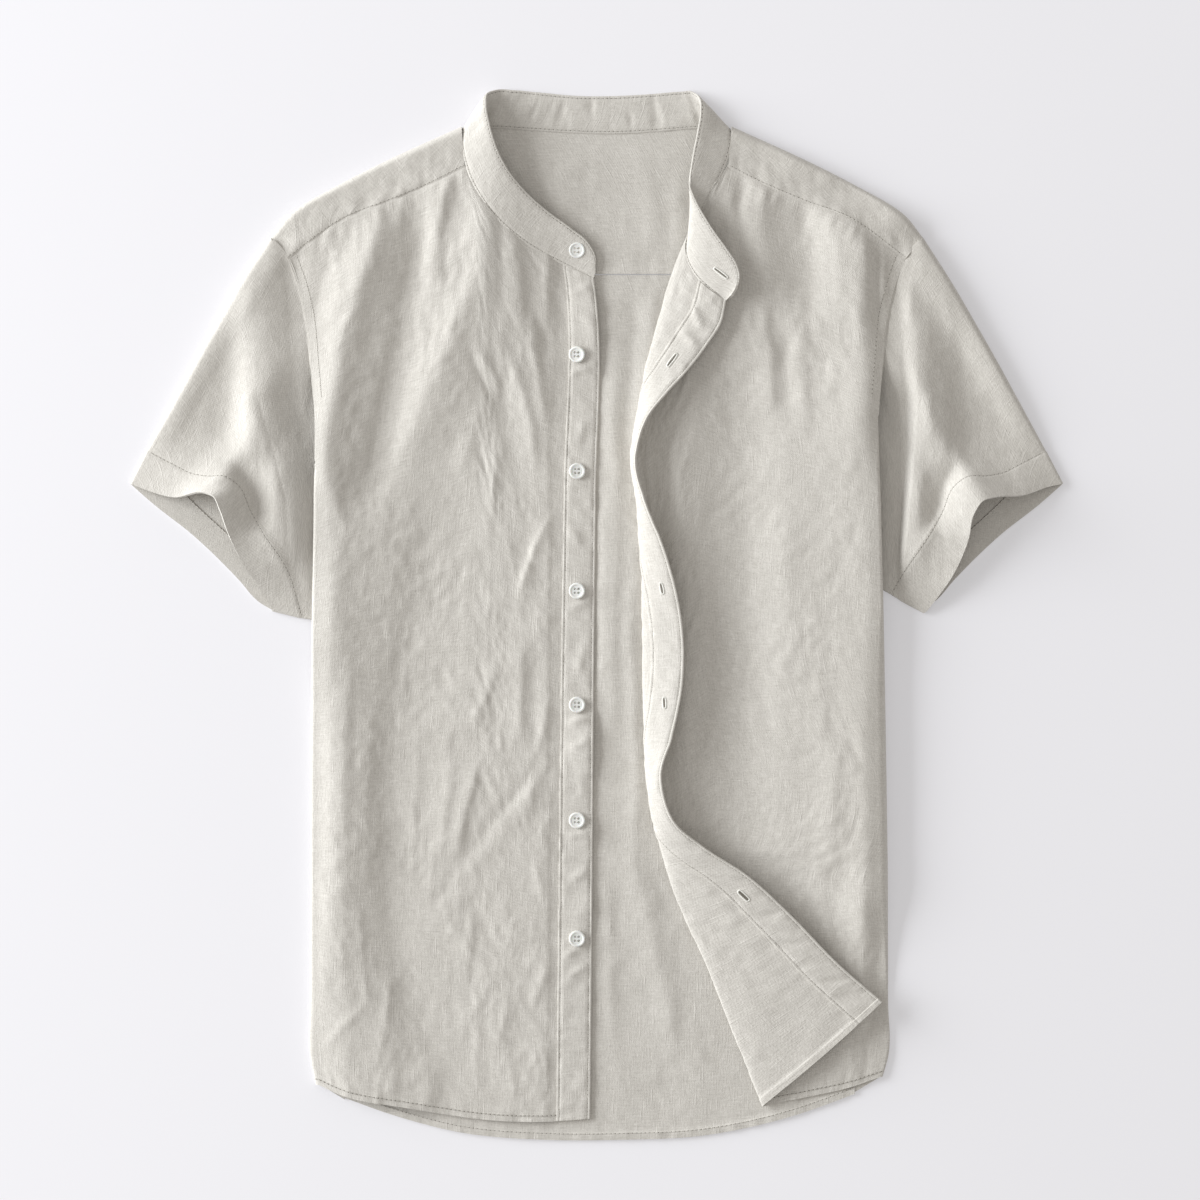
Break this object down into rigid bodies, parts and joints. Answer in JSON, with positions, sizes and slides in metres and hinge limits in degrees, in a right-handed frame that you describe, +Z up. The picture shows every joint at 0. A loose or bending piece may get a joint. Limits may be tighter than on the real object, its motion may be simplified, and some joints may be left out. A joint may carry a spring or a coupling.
{
  "type": "mandarin collar shirt",
  "caption": "Short-sleeved linen shirt with a mandarin collar and button placket, laid flat on its back with its left front turned open.",
  "frame": {"origin": "on the surface that the shirt lies on, under the middle of its bounding box", "axes": "+X towards the shirt's left sleeve (right as seen from above), +Y towards the collar, +Z up from the surface"},
  "size_m": [0.672, 0.7561, 0.0285],
  "materials": {
    "body_linen": "matte woven linen",
    "band_linen": "matte woven linen, doubled",
    "placket_linen": "matte woven linen, doubled",
    "sleeve_linen": "matte woven linen",
    "button_resin": "pale resin, softly polished"
  },
  "bodies": {
    "root": {"back": "body_linen", "yoke": "body_linen", "front_right": "body_linen", "front_left": "body_linen", "placket_right": "placket_linen", "placket_left": "placket_linen", "collar": "band_linen", "sleeve_right": "sleeve_linen", "sleeve_left": "sleeve_linen", "button_1": "button_resin", "button_2": "button_resin", "button_3": "button_resin", "button_4": "button_resin", "button_5": "button_resin", "button_6": "button_resin", "button_7": "button_resin"}
  },
  "joints": []
}
